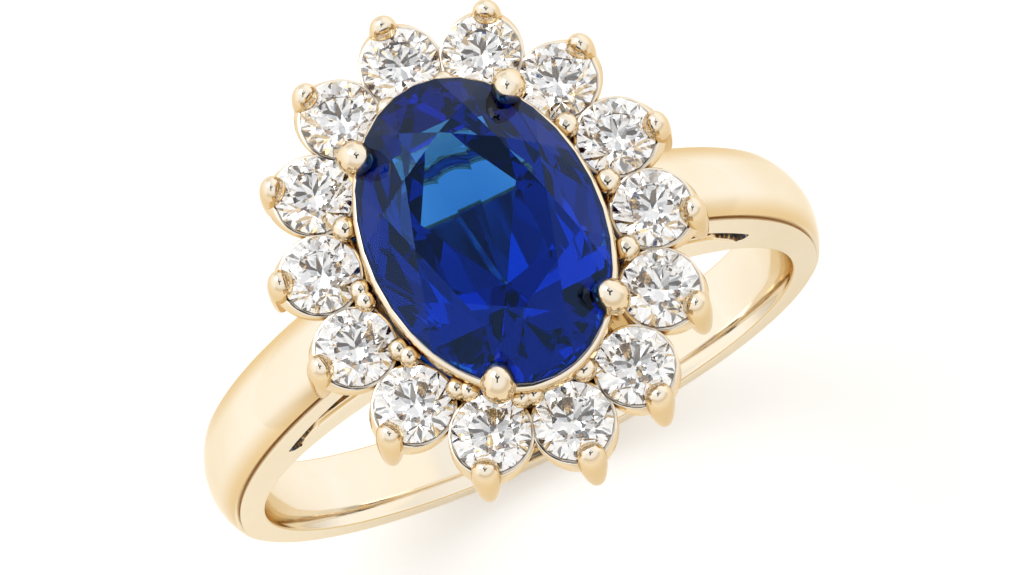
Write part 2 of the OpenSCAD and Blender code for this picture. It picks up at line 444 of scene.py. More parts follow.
def feed(tree: Tree, socket: Socket, value: Socket | Colour | float) -> None:
    """Link a value to a socket, or set it there.

    Args:
        tree: The nodes.
        socket: The socket fed.
        value: Another node's output, a colour or a number.
    """
    if isinstance(value, Socket):
        tree.links.new(value, socket)
    else:
        socket.default_value = (*value, 1) if isinstance(value, tuple) else value


def remap(
    tree: Tree, value: Socket, source: tuple[float, float], target: tuple[float, float]
) -> Socket:
    """Stretch one range of numbers onto another.

    Args:
        tree: The nodes.
        value: The number.
        source: The range it comes from.
        target: The range it goes to.

    Returns:
        The new number.
    """
    node = tree.nodes.new("ShaderNodeMapRange")
    node.inputs["From Min"].default_value, node.inputs["From Max"].default_value = source
    node.inputs["To Min"].default_value, node.inputs["To Max"].default_value = target
    tree.links.new(value, node.inputs["Value"])
    return node.outputs["Result"]


def along(tree: Tree, way: Socket, line: Vector) -> Socket:
    """Measure how far a direction runs along a line.

    Args:
        tree: The nodes.
        way: The direction.
        line: A unit vector.

    Returns:
        Their dot product.
    """
    dot = tree.nodes.new("ShaderNodeVectorMath")
    dot.operation = "DOT_PRODUCT"
    dot.inputs[1].default_value = line
    tree.links.new(way, dot.inputs[0])
    return dot.outputs["Value"]


def ramp(tree: Tree, value: Socket, stops: tuple[tuple[float, Colour], ...]) -> Socket:
    """Turn a number from -1 to 1 into a colour.

    Args:
        tree: The nodes.
        value: The number.
        stops: Numbers, each with its colour, in order.

    Returns:
        The colour.
    """
    node = tree.nodes.new("ShaderNodeValToRGB")
    node.color_ramp.interpolation = "EASE"
    for _ in stops[2:]:
        node.color_ramp.elements.new(1)
    for element, (number, colour) in zip(node.color_ramp.elements, stops):
        element.position = (number + 1) / 2
        element.color = (*colour, 1)
    tree.links.new(remap(tree, value, (-1, 1), (0, 1)), node.inputs["Fac"])
    return node.outputs["Color"]


def blend(
    tree: Tree, kind: str, amount: Socket | float, under: Socket | Colour, over: Socket | Colour
) -> Socket:
    """Blend two colours.

    Args:
        tree: The nodes.
        kind: How they blend.
        amount: How strongly.
        under: The first colour.
        over: The second colour.

    Returns:
        The blended colour.
    """
    mix = tree.nodes.new("ShaderNodeMix")
    mix.data_type = "RGBA"
    mix.blend_type = kind
    feed(tree, mix.inputs[MIX_AMOUNT], amount)
    feed(tree, mix.inputs[MIX_UNDER], under)
    feed(tree, mix.inputs[MIX_OVER], over)
    return mix.outputs[MIX_RESULT]


@dataclass(frozen=True)
class Finish:
    """Base of every finish: a Principled surface with its own nodes.

    Args:
        name: The material's name.
    """

    name: str

    def surface(self) -> tuple[Tree, bpy.types.Node]:
        """Make the material.

        Returns:
            Its node tree and its Principled shader.
        """
        material = bpy.data.materials.new(self.name)
        material.use_nodes = True
        return material.node_tree, material.node_tree.nodes["Principled BSDF"]

    def grain(
        self, tree: Tree, size: float, detail: float, stretch: tuple[float, ...] = (1, 1, 1)
    ) -> Socket:
        """Lay a fine pattern over a piece.

        Args:
            tree: The material's nodes.
            size: Size of the pattern's cells, in millimetres.
            detail: Octaves of the pattern.
            stretch: How much finer it is along each axis.

        Returns:
            The pattern's value.
        """
        place = tree.nodes.new("ShaderNodeTexCoord")
        mapping = tree.nodes.new("ShaderNodeMapping")
        mapping.inputs["Scale"].default_value = Vector(stretch) / (size * MM)
        noise = tree.nodes.new("ShaderNodeTexNoise")
        noise.inputs["Scale"].default_value = 1
        noise.inputs["Detail"].default_value = detail
        tree.links.new(place.outputs["Object"], mapping.inputs["Vector"])
        tree.links.new(mapping.outputs["Vector"], noise.inputs["Vector"])
        return noise.outputs["Fac"]

    def shade(self, tree: Tree, pattern: Socket, low: Colour, high: Colour) -> Socket:
        """Turn a pattern into a colour that drifts between two shades.

        Args:
            tree: The material's nodes.
            pattern: The pattern's value.
            low: Colour at its low places.
            high: Colour at its high places.

        Returns:
            The colour.
        """
        drift = tree.nodes.new("ShaderNodeValToRGB")
        for element, place, colour in zip(drift.color_ramp.elements, (0.35, 0.65), (low, high)):
            element.position = place
            element.color = (*colour, 1)
        tree.links.new(pattern, drift.inputs["Fac"])
        return drift.outputs["Color"]


@dataclass(frozen=True)
class PolishedGold(Finish):
    """Yellow gold, buffed, with drifting tone, faint wheel marks, and painted shade on its flanks
    and in its creases.

    Args:
        pale: Colour where the alloy looks palest.
        rich: Colour where it looks richest.
        edge: Tint of what it reflects at a glance.
        flank_shade: Painted shade on the rounded flanks, a darker tan standing in for the dimmer
            surroundings they would reflect.
        flank_shade_axis: Line that the flanks' slope is measured against.
        flank_shade_stops: Slopes, each with how much of the painted shade it has.
        crease_shade: Colour of the painted shade that darkens the creases.
        crease_shade_reach: How far the painted crease shade reaches, in millimetres.
        crease_shade_open: Openness at which the painted crease shade is full, and at which it's
            gone.
        buff: Least roughness.
        wear: Most roughness.
        mark: Depth of the wheel marks, in millimetres.
        mark_strength: How strongly they show.
    """

    pale: Colour = (0.88, 0.81, 0.695)
    rich: Colour = (0.86, 0.775, 0.635)
    edge: Colour = (0.9, 0.825, 0.685)
    flank_shade: Colour = (0.72, 0.52, 0.26)
    flank_shade_axis: tuple[float, float, float] = (0, 1, 0)
    flank_shade_stops: tuple[tuple[float, float], ...] = (
        (-0.96, 0),
        (-0.8, 1),
        (-0.58, 1),
        (-0.22, 0),
        (0.22, 0),
        (0.58, 1),
        (0.8, 1),
        (0.96, 0),
    )
    crease_shade: Colour = (0.3, 0.15, 0.045)
    crease_shade_reach: float = 0.16
    crease_shade_open: tuple[float, float] = (0.3, 0.75)
    buff: float = 0.05
    wear: float = 0.11
    mark: float = 0.0006
    mark_strength: float = 0.25

    def make(self) -> bpy.types.Material:
        """Make the material.

        Returns:
            The finished material.
        """
        tree, shader = self.surface()
        tone = self.grain(tree, 3.2, 3)
        haze = self.grain(tree, 0.9, 5)
        wheel = self.grain(tree, 0.25, 6, (1, 0.12, 1))
        bump = tree.nodes.new("ShaderNodeBump")
        bump.inputs["Strength"].default_value = self.mark_strength
        bump.inputs["Distance"].default_value = self.mark * MM
        shader.inputs["Metallic"].default_value = 1
        shader.inputs["Specular Tint"].default_value = (*self.edge, 1)
        # Painted shade on the flanks stands in for the darker surroundings they would reflect.
        colour = self.paint_flank_shade(tree, self.shade(tree, tone, self.rich, self.pale))
        # Painted shade darkens the creases, placed by ambient occlusion.
        colour = self.paint_crease_shade(tree, colour)
        roughness = remap(tree, haze, (0.3, 0.7), (self.buff, self.wear))
        tree.links.new(colour, shader.inputs["Base Color"])
        tree.links.new(roughness, shader.inputs["Roughness"])
        tree.links.new(wheel, bump.inputs["Height"])
        tree.links.new(bump.outputs["Normal"], shader.inputs["Normal"])
        return bpy.data.materials[self.name]

    def paint_flank_shade(self, tree: Tree, colour: Socket) -> Socket:
        """Paint shade, darker and warmer, where the metal's surface rolls away.

        Args:
            tree: The material's nodes.
            colour: The colour facing outwards.

        Returns:
            The colour with painted shade on its flanks.
        """
        facing = tree.nodes.new("ShaderNodeTexCoord").outputs["Normal"]
        slope = along(tree, facing, Vector(self.flank_shade_axis))
        # How much painted shade each slope of the surface gets.
        share = ramp(tree, slope, tuple((place, (much,) * 3) for place, much in self.flank_shade_stops))
        return blend(tree, "MIX", share, colour, self.flank_shade)

    def paint_crease_shade(self, tree: Tree, colour: Socket) -> Socket:
        """Paint shade into the creases, darkening the colour where little light gets in.

        Args:
            tree: The material's nodes.
            colour: The open surface's colour.

        Returns:
            The colour with painted shade in its creases.
        """
        # Ambient occlusion says how shut in a spot is; the painted crease shade follows it.
        nook = tree.nodes.new("ShaderNodeAmbientOcclusion")
        nook.samples = 8
        nook.inputs["Distance"].default_value = self.crease_shade_reach * MM
        openness = remap(tree, nook.outputs["AO"], self.crease_shade_open, (0, 1))
        return blend(tree, "MIX", openness, self.crease_shade, colour)


@dataclass(frozen=True)
class Gem(Finish):
    """A clear cut stone, with colour held in its depth and faint zones.

    Args:
        index: Refractive index.
        clear: Colour of its clearest zones.
        zone: Colour of its other zones.
        zone_size: Size of the zones, in millimetres.
        depth_colour: Colour that its depth lets through.
        density: How strongly it absorbs, per metre.
        sheen: Tint of what its faces mirror head on.
        softness: Roughness of its faces.
    """

    index: float
    clear: Colour
    zone: Colour
    zone_size: float
    depth_colour: Colour = (1, 1, 1)
    density: float = 0
    sheen: Colour = (1, 1, 1)
    softness: float = 0

    def make(self) -> bpy.types.Material:
        """Make the material.

        Returns:
            The finished material.
        """
        tree, shader = self.surface()
        zones = self.grain(tree, self.zone_size, 4, (1, 0.4, 1))
        shader.inputs["Roughness"].default_value = self.softness
        shader.inputs["IOR"].default_value = self.index
        shader.inputs["Transmission Weight"].default_value = 1
        shader.inputs["Specular Tint"].default_value = (*self.sheen, 1)
        tree.links.new(self.shade(tree, zones, self.zone, self.clear), shader.inputs["Base Color"])
        if self.density:
            depth = tree.nodes.new("ShaderNodeVolumeAbsorption")
            depth.inputs["Color"].default_value = (*self.depth_colour, 1)
            depth.inputs["Density"].default_value = self.density
            output = tree.nodes["Material Output"]
            tree.links.new(depth.outputs["Volume"], output.inputs["Volume"])
        return bpy.data.materials[self.name]


@dataclass(frozen=True)
class PaleBench(Finish):
    """The smooth white surface, lit from within, that the ring stands on.

    Args:
        dull: Colour where it looks dullest.
        bright: Colour where it looks brightest.
        light: Colour of the light inside it.
        glow: Strength of that light.
        roughness: How matt it is.
        shine: Strength of its gloss.
    """

    dull: Colour = (0.93, 0.93, 0.925)
    bright: Colour = (0.94, 0.94, 0.935)
    light: Colour = (1.0, 0.985, 0.96)
    glow: float = 0.15
    roughness: float = 0.7
    shine: float = 0.1

    def make(self) -> bpy.types.Material:
        """Make the material.

        Returns:
            The finished material.
        """
        tree, shader = self.surface()
        colour = self.shade(tree, self.grain(tree, 6, 3), self.dull, self.bright)
        tree.links.new(colour, shader.inputs["Base Color"])
        shader.inputs["Emission Color"].default_value = (*self.light, 1)
        shader.inputs["Emission Strength"].default_value = self.glow
        shader.inputs["Roughness"].default_value = self.roughness
        shader.inputs["Specular IOR Level"].default_value = self.shine
        return bpy.data.materials[self.name]


class Slot(Enum):
    """The record's material slots."""

    GOLD = "gold"
    SAPPHIRE = "sapphire"
    DIAMOND = "diamond"


FINISHES: dict[Slot, Finish] = {
    Slot.GOLD: PolishedGold("yellow_gold"),
    Slot.SAPPHIRE: Gem(
        "blue_sapphire",
        index=1.77,
        clear=(0.9, 0.95, 1.0),
        zone=(0.76, 0.86, 1.0),
        zone_size=2.4,
        depth_colour=(0.0, 0.52, 0.83),
        density=980,
        sheen=(0.14, 0.28, 0.66),
        softness=0.025,
    ),
    Slot.DIAMOND: Gem(
        "white_diamond",
        index=2.417,
        clear=(1.0, 1.0, 1.0),
        zone=(0.97, 0.985, 1.0),
        zone_size=0.6,
    ),
}

# The setting's painted flank shade grows as a surface turns from facing up to facing down.
SETTING_GOLD = PolishedGold(
    "setting_gold",
    flank_shade_axis=(0, 0, -1),
    flank_shade_stops=((-1, 0), (-0.85, 0), (-0.35, 0.65), (0.05, 1), (0.35, 1)),
)


def dress(piece: Piece, slot: Slot, *nodes: str, finish: Finish | None = None) -> None:
    """Give a finished piece its finish, its body and the nodes it stands for.

    Args:
        piece: The finished object.
        slot: The record's slot.
        nodes: CAD nodes that the piece replaces.
        finish: Its finish, when it isn't the slot's usual one.
    """
    finish = finish or FINISHES[slot]
    material = bpy.data.materials.get(finish.name) or finish.make()
    piece.data.materials.clear()
    piece.data.materials.append(material)
    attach(piece, BODY)
    if nodes:
        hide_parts(*nodes)
    log.info("%s: %d faces, %s", piece.name, len(piece.data.polygons), slot.value)


# ------------------------------------------------------------------ places taken from the frame


def span(node: str) -> tuple[Vector, Vector]:
    """Box of a CAD node, in millimetres.

    Args:
        node: The node's name.

    Returns:
        Its lowest and highest corners.
    """
    low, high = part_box(node)
    return low / MM, high / MM


def middle_of(node: str) -> Vector:
    """Middle of a CAD node's box, in millimetres."""
    low, high = span(node)
    return (low + high) / 2


def nodes_of(kind: str) -> list[str]:
    """Names of the numbered nodes of one kind, in order."""
    return sorted(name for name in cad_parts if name.startswith(f"{kind}_"))


CROWN_SHARE = 0.16  # height of a diamond's crown as a share of its width


@dataclass(frozen=True)
class Setting:
    """One diamond's place in the halo.

    Args:
        number: Its number, as text.
        centre: Middle of its girdle seen from above.
        girdle: Height of its girdle's top edge.
        facing: Angle in radians, from +X, of its outer prong.
    """

    number: str
    centre: Vector
    girdle: float
    facing: float


def settings() -> list[Setting]:
    """Read every diamond's place from the frame.

    Returns:
        One setting for each diamond.
    """
    found = []
    for node in nodes_of("diamond"):
        number = node.rsplit("_", 1)[1]
        low, high = span(node)
        centre = (low + high) / 2
        out = middle_of(f"outer_prong_{number}") - centre
        girdle = high.z - CROWN_SHARE * (high.x - low.x)
        found.append(Setting(number, centre, girdle, math.atan2(out.y, out.x)))
    return found


# ------------------------------------------------------------------ sub-assemblies


@dataclass
class Shank:
    """The band: domed outside, flat sides, two cathedral arms and a bridge.

    Args:
        hole: Radius of the finger hole.
        width: Width along the finger.
        edge: Height of the band's side face.
        crown: Height of the dome above the side face.
        arm_edge: Height of the arms' side face.
        bridge_r: Radius of the bridge's outside.
        bridge_lift: Height of the bridge's centre.
        slot_angle: Degrees above the horizontal where each slot starts.
        slot_wide: Width of each slot at its rounded end.
        slot_lip: How far the bridge's edges are rounded off.
        slot_flare: How far each slot's floor falls away at its mouths.
        slot_reach: Degrees that each slot runs on about its shoulder's centre.
        arm_meet: Half the distance between the arms' side faces under the halo.
        groove: Width of the fine line cut along the dome's edges.
        step: Hair's breadth by which the inner parts stand back from the sides.
        bite: How far a tool cuts past the line it works to.
    """

    hole: float = 8.65
    width: float = 2.4
    edge: float = 0.95
    crown: float = 0.4
    arm_edge: float = 0.85
    bridge_r: float = 8.5
    bridge_lift: float = 1.9
    slot_angle: float = 41.5
    slot_wide: float = 0.32
    slot_lip: float = 0.16
    slot_flare: float = 0.1
    slot_reach: float = 25
    arm_meet: float = 3.49
    groove: float = 0.085
    step: float = 0.003
    bite: float = 0.01

    def __post_init__(self) -> None:
        """Work out the shoulder's arc from where the arm starts and ends."""
        self.top = span("shank")[1].z
        self.band_r = self.hole + self.edge
        reach = self.band_r - self.arm_meet
        self.shoulder_r = (reach**2 + self.top**2) / (2 * reach)
        self.shoulder_x = self.band_r - self.shoulder_r

    def dome(self, across: float) -> float:
        """Work out the dome's height above its edges.

        Args:
            across: Distance from the band's middle.

        Returns:
            The height.
        """
        half = self.width / 2
        radius = (half**2 + self.crown**2) / (2 * self.crown)
        return math.sqrt(radius**2 - across**2) - (radius - self.crown)

    def domed_outline(self) -> list[Vector]:
        """Corners of the band's section where it crosses the horizontal.

        Returns:
            Points in millimetres, in order round the section.
        """
        columns, slant = 24, 1.25 * self.groove
        half = self.width / 2
        inner = self.band_r - self.arm_edge
        reach = half - self.groove
        dome = [reach - 2 * reach * i / columns for i in range(columns + 1)]
        outside = [Vector((self.band_r + self.dome(y), y, 0)) for y in dome]
        near = [
            Vector((self.band_r - 1.1 * self.groove, slant - half, 0)),
            Vector((self.band_r - 0.8 * self.groove, -half, 0)),
        ]
        far = [Vector((corner.x, -corner.y, 0)) for corner in reversed(near)]
        return [*outside, *near, Vector((inner, -half, 0)), Vector((inner, half, 0)), *far]

    def swing(self, side: int, steps: int, angle: float) -> None:
        """Spin what is selected about one shoulder's centre.

        Args:
            side: 1 for the right shoulder, -1 for the left.
            steps: Number of steps.
            angle: The angle upwards, in radians.
        """
        centre = (side * self.shoulder_x * MM, 0, 0)
        bpy.ops.mesh.spin(steps=steps, angle=side * angle, center=centre, axis=ALONG_Y)

    def sweep(self) -> Piece:
        """Spin the section round the band and up both arms.

        Returns:
            The closed outer hoop, open at the top.
        """
        piece = section("shank_cast", self.domed_outline())
        spare = 0.4
        rise = math.asin((self.top + spare) / (self.shoulder_r - self.arm_edge))
        with editing(piece):
            bpy.ops.mesh.select_all(action="SELECT")
            bpy.ops.mesh.spin(steps=110, angle=-math.pi, center=(0, 0, 0), axis=ALONG_Y)
            for side in (1, -1):
                pick(piece, lambda p: p.x * side > 0 and abs(p.z) < 0.001, "FACE")
                self.swing(side, 56, rise)
        tidy_faces(piece)
        return piece

    def bridge(self) -> Piece:
        """Model the disc whose rim is the bridge over the finger.

        Returns:
            A closed mesh.
        """
        place = Vector((0, 0, self.bridge_lift))
        piece = rod("bridge", self.bridge_r, self.width - self.step, 200, place, lying=True)
        width = self.slot_lip * MM
        apply_modifier(piece, "BEVEL", width=width, segments=5, angle_limit=math.radians(50))
        return piece

    def liner(self) -> Piece:
        """Model the square-edged hoop that the finger hole is cut out of.

        Returns:
            A closed mesh.
        """
        half = self.width / 2 - 2 * self.step
        inner, outer = self.hole - 0.35, self.band_r - self.arm_edge / 2 - 0.05
        corners = [(inner, -half), (outer, -half), (outer, half), (inner, half)]
        return lathe("liner", corners, 160, ALONG_Y)

    def web(self, side: int) -> Piece:
        """Fill the shoulder between the finger hole and the slot.

        Args:
            side: 1 for the right shoulder, -1 for the left.

        Returns:
            A closed mesh.
        """
        half = self.width / 2 - self.step
        inner, outer = self.hole - 0.65, self.band_r - self.arm_edge / 2
        edges = [(inner, -half), (outer, -half), (outer, half), (inner, half)]
        piece = section("web", [Vector((side * x, y, 0)) for x, y in edges])
        with editing(piece):
            bpy.ops.mesh.select_all(action="SELECT")
            self.swing(side, 24, self.slot_turn())
        tidy_faces(piece)
        return piece

    def slot_place(self) -> Vector:
        """Work out where the right-hand slot's rounded end is.

        Returns:
            The end's middle.
        """
        angle = math.radians(self.slot_angle)
        towards = Vector((math.cos(angle), 0, math.sin(angle)))
        across = self.shoulder_x * towards.x
        radius = self.shoulder_r - self.arm_edge - self.slot_wide / 2
        return towards * (across + math.sqrt(across**2 + radius**2 - self.shoulder_x**2))

    def slot_turn(self) -> float:
        """Angle of the slot's end about the shoulder's centre, in radians."""
        place = self.slot_place()
        return math.atan2(place.z, place.x - self.shoulder_x)

    def drill(self, side: int) -> Piece:
        """Make the tool that rounds the end of one slot.

        Args:
            side: 1 for the right slot, -1 for the left.

        Returns:
            A closed mesh.
        """
        place = self.slot_place()
        place.x *= side
        return rod("drill", self.slot_wide / 2 + self.bite, 2 * self.width, 40, place, lying=True)

    def saw(self, side: int) -> Piece:
        """Make the tool that opens one slot along the arm's underside.

        Args:
            side: 1 for the right slot, -1 for the left.

        Returns:
            A closed mesh.
        """
        outer = self.shoulder_x + self.shoulder_r - self.arm_edge + self.bite
        inner = outer - self.slot_wide - self.bite
        mouth, bend = inner - self.slot_flare, self.width / 2 - 2 * self.slot_flare
        near = [(inner, -bend), (mouth, -self.width / 2 - self.bite), (mouth, -self.width)]
        edges = [*near, (outer, -self.width)]
        edges += [(x, -y) for x, y in reversed(edges)]
        piece = section("saw", [Vector((side * x, y, 0)) for x, y in edges])
        centre = (side * self.shoulder_x * MM, 0, 0)
        start = side * self.slot_turn()
        with editing(piece):
            bpy.ops.mesh.select_all(action="SELECT")
            bpy.ops.transform.rotate(value=start, orient_axis="Y", center_override=centre)
            self.swing(side, 24, math.radians(self.slot_reach))
        tidy_faces(piece)
        return piece

    def finger_tool(self) -> Piece:
        """Make the tool that opens the finger hole, with comfort-fit mouths.

        Returns:
            A closed mesh.
        """
        half = self.width / 2
        straight, ease, lip, spread, past = 0.5, 0.1, 0.07, 0.5, 0.12
        wall = []
        for share in (step / 8 for step in range(1, 9)):
            wall.append((self.hole + ease * share**2, straight + (half - lip - straight) * share))
        mouth = self.hole + ease + lip
        for bend in (math.radians(15 * step) for step in range(1, 6)):
            wall.append((mouth - lip * math.cos(bend), half - lip * (1 - math.sin(bend))))
        wall.append((mouth + spread, half + past))
        piece = rod("finger_tool", self.hole, 2 * straight, 200, lying=True)
        with editing(piece):
            for side in (1, -1):
                radius, depth = self.hole, straight
                for wider, further in wall:
                    pick(piece, lambda p: abs(p.y - side * depth) < 0.0005, "FACE")
                    move = (0, side * (further - depth) * MM, 0)
                    bpy.ops.mesh.extrude_region_move(TRANSFORM_OT_translate={"value": move})
                    grow = wider / radius
                    middle = (0, side * further * MM, 0)
                    bpy.ops.transform.resize(value=(grow, 1, grow), center_override=middle)
                    radius, depth = wider, further
        tidy_faces(piece)
        return piece

    def planer(self) -> Piece:
        """Make the block that trims both arms level under the halo.

        Returns:
            A closed mesh.
        """
        side = 4 * self.band_r
        put_tools_down()
        place = (0, 0, (self.top + side / 2) * MM)
        bpy.ops.mesh.primitive_cube_add(size=side * MM, location=place)
        piece = named("planer")
        settle(piece)
        return piece

    def build(self) -> Piece:
        """Model the whole shank.

        Returns:
            The finished mesh.
        """
        piece = self.sweep()
        carve(piece, [self.liner(), self.bridge(), self.web(1), self.web(-1)], Cut.JOIN)
        slots = [tool(side) for side in (1, -1) for tool in (self.drill, self.saw)]
        carve(piece, [self.finger_tool(), *slots, self.planer()], Cut.REMOVE)
        polish_flats(piece, 32)
        return piece

    def dress(self) -> None:
        """Build the shank and give it its finish."""
        dress(self.build(), Slot.GOLD, "shank")


@dataclass
class Halo:
    """The scalloped frame of collets, its diamonds, and their prongs.

    Args:
        wall: Gold outside each diamond's girdle.
        rim_drop: How far the collets' rims lie under the girdles.
        seat_wall: Clearance round a diamond's girdle in its seat.
        girdle_tall: Height of a diamond's girdle.
        petal: How much each collet is drawn out towards its outer prong.
        collet_tall: Height of a collet's upright wall.
        collet_steps: How much each step below it narrows, and its height.
        rim_round: How far a collet's rim is rounded.
        rail_inset: How far the rail stands in from the diamonds' middles.
        rail_tall: Height of the rail.
        rail_wide: Width of the rail across and along the finger.
    """

    wall: float = 0.09
    rim_drop: float = 0.03
    seat_wall: float = 0.02
    girdle_tall: float = 0.055
    petal: float = 1.16
    collet_tall: float = 0.3
    collet_steps: tuple[tuple[float, float], ...] = (
        (0.97, 0.2),
        (0.93, 0.2),
        (0.85, 0.18),
        (0.66, 0.14),
    )
    rim_round: float = 0.035
    rail_inset: float = 0.3
    rail_tall: float = 0.45
    rail_wide: tuple[float, float] = (1.3, 1.2)

    def __post_init__(self) -> None:
        """Read the stones' places and sizes from the frame."""
        self.settings = settings()
        low, high = span("diamond_01")
        self.stone_r = (high.x - low.x) / 2
        self.stone_low = low.z
        self.stone_high = high.z

    def collet(self) -> Piece:
        """Model one bowl-shaped collet, rim at height zero.

        Returns:
            A closed mesh about the Z axis.
        """
        tall = self.collet_tall
        place = Vector((0, 0, -tall / 2))
        piece = rod("collet", self.stone_r + self.wall, tall, 64, place)
        with editing(piece):
            pick(piece, lambda p: p.z < place.z and p.x > 0.02, "VERT")
            bpy.ops.transform.resize(value=(self.petal, 1, 1), center_override=(0, 0, 0))
            pick(piece, lambda p: p.z < 1.5 * place.z, "FACE")
            for scale, drop in self.collet_steps:
                move = {"value": (0, 0, -drop * MM)}
                bpy.ops.mesh.extrude_region_move(TRANSFORM_OT_translate=move)
                bpy.ops.transform.resize(value=(scale, scale, 1), center_override=(0, 0, 0))
            bpy.ops.mesh.select_mode(type="EDGE")
            bpy.ops.mesh.select_all(action="DESELECT")
            mesh = bmesh.from_edit_mesh(piece.data)
            for edge in mesh.edges:
                edge.select_set(all(v.co.z > -0.01 * MM for v in edge.verts))
            bmesh.update_edit_mesh(piece.data)
            bpy.ops.mesh.bevel(offset=self.rim_round * MM, segments=3, affect="EDGES")
        return piece

    def seat(self) -> Piece:
        """Model the burr that cuts one diamond's seat, girdle at height zero.

        Returns:
            A closed mesh about the Z axis.
        """
        radius = self.stone_r + self.seat_wall
        depth = 0.6 * (self.settings[0].girdle - self.stone_low)
        hole = 0.4 * radius
        put_tools_down()
        bpy.ops.mesh.primitive_cone_add(
            vertices=64,
            radius1=hole * MM,
            radius2=radius * MM,
            depth=depth * MM,
            location=(0, 0, -depth / 2 * MM),
        )
        piece = named("burr")
        settle(piece)
        with editing(piece):
            pick(piece, lambda p: p.z > -0.01, "FACE")
            bpy.ops.mesh.extrude_region_move(TRANSFORM_OT_translate={"value": (0, 0, MM)})
            pick(piece, lambda p: p.z < -0.98 * depth, "FACE")
            bpy.ops.mesh.extrude_region_move(TRANSFORM_OT_translate={"value": (0, 0, -MM)})
        return piece

    def at(self, pattern: Piece, name: str, setting: Setting, height: float) -> Piece:
        """Copy a pattern to one diamond's place, its +X towards the outer prong.

        Args:
            pattern: The piece to copy.
            name: The copy's name.
            setting: Where the diamond is.
            height: Height of the pattern's zero.

        Returns:
            The settled copy.
        """
        piece = copy_of(pattern, name)
        piece.location = Vector((setting.centre.x, setting.centre.y, height)) * MM
        piece.rotation_euler = (0, 0, setting.facing)
        settle(piece)
        return piece

    def rail(self) -> Piece:
        """Model the flat rail that carries the collets.

        Returns:
            A closed mesh.
        """
        out_x = max(s.centre.x for s in self.settings) + 0.1 - self.rail_inset
        out_y = max(s.centre.y for s in self.settings) - self.rail_inset
        wide_x, wide_y = self.rail_wide
        place = Vector((0, 0, span("shank")[1].z + self.rail_tall / 2))
        piece = rod("halo_frame_cast", 1, self.rail_tall, 128, place, caps="NOTHING")
        with editing(piece):
            bpy.ops.mesh.select_all(action="SELECT")
            bpy.ops.transform.resize(value=(out_x, out_y, 1), center_override=(0, 0, 0))
            bpy.ops.mesh.extrude_region_move()
            inner = ((out_x - wide_x) / out_x, (out_y - wide_y) / out_y, 1)
            bpy.ops.transform.resize(value=inner, center_override=(0, 0, 0))
        tidy_faces(piece)
        apply_modifier(piece, "BEVEL", width=0.1 * MM, segments=3, angle_limit=math.radians(50))
        return piece

    def frame(self) -> None:
        """Join the collets on their rail, cut the seats, and finish the frame."""
        collet, burr = self.collet(), self.seat()
        piece = self.rail()
        cups, cuts = [], []
        for setting in self.settings:
            seat = setting.girdle - self.girdle_tall
            cups.append(self.at(collet, "cup", setting, seat - self.rim_drop))
            cuts.append(self.at(burr, "cut", setting, seat))
        carve(piece, cups, Cut.JOIN)
        carve(piece, cuts, Cut.REMOVE)
        bpy.data.objects.remove(collet)
        bpy.data.objects.remove(burr)
        tidy_faces(piece)
        polish_flats(piece, 35)
        dress(piece, Slot.GOLD, "halo_frame", finish=SETTING_GOLD)

    def outer_prong(self) -> Piece:
        """Model one outer prong, its girdle at height zero and +X outwards.

        Returns:
            The smooth pattern.
        """
        out = self.stone_r
        stations = [
            Station(out + 0.26, -2.12, 8, 0.08, 0.10),
            Station(out + 0.26, -2.08, 8, 0.15, 0.18),
            Station(out + 0.24, -1.94, 9, 0.21, 0.25),
            Station(out + 0.19, -1.56, 9, 0.29, 0.33),
            Station(out + 0.13, -1.05, 8, 0.36, 0.40),
            Station(out + 0.08, -0.55, 7, 0.40, 0.45),
            Station(out + 0.05, -0.12, 8, 0.41, 0.45),
            Station(out + 0.03, 0.16, 14, 0.40, 0.42),
            Station(out - 0.02, 0.40, 28, 0.40, 0.40),
            Station(out - 0.10, 0.57, 44, 0.31, 0.31),
            Station(out - 0.17, 0.64, 52, 0.12, 0.12),
        ]
        return draw_wire("outer_prong", stations)

    def inner_prong(self, twin: bool) -> Piece:
        """Model one inner prong, its foot at height zero.

        Args:
            twin: Whether its bead is split in two across the gap.

        Returns:
            The smooth pattern.
        """
        low, high = span("inner_prong_01")
        tall = high.z - low.z
        bead, lean = (0.33, 0.17) if twin else (0.39, 0.0)
        stations = [
            Station(0, 0.0, 0, 0.22, 0.22),
            Station(0, 0.1, 0, 0.24, 0.24),
            Station(0, tall - 0.80, 0, 0.24, 0.24),
            Station(lean * 0.5, tall - 0.64, 0, 0.27, 0.27),
            Station(lean, tall - 0.45, 0, bead, bead),
            Station(lean, tall - 0.20, 0, bead, bead),
            Station(lean, tall - 0.03, 0, bead * 0.7, bead * 0.7),
            Station(lean, tall + 0.03, 0, bead * 0.27, bead * 0.27),
        ]
        piece = draw_wire("inner_prong", stations, sides=12)
        if twin:
            other = copy_of(piece, "other_bead")
            other.rotation_euler = (0, 0, math.pi)
            settle(other)
            carve(piece, [other], Cut.JOIN)
            take(piece)
            piece.rotation_euler = (0, 0, math.pi / 2)
            settle(piece)
            bpy.ops.object.shade_smooth_by_angle(angle=math.radians(50))
        return piece

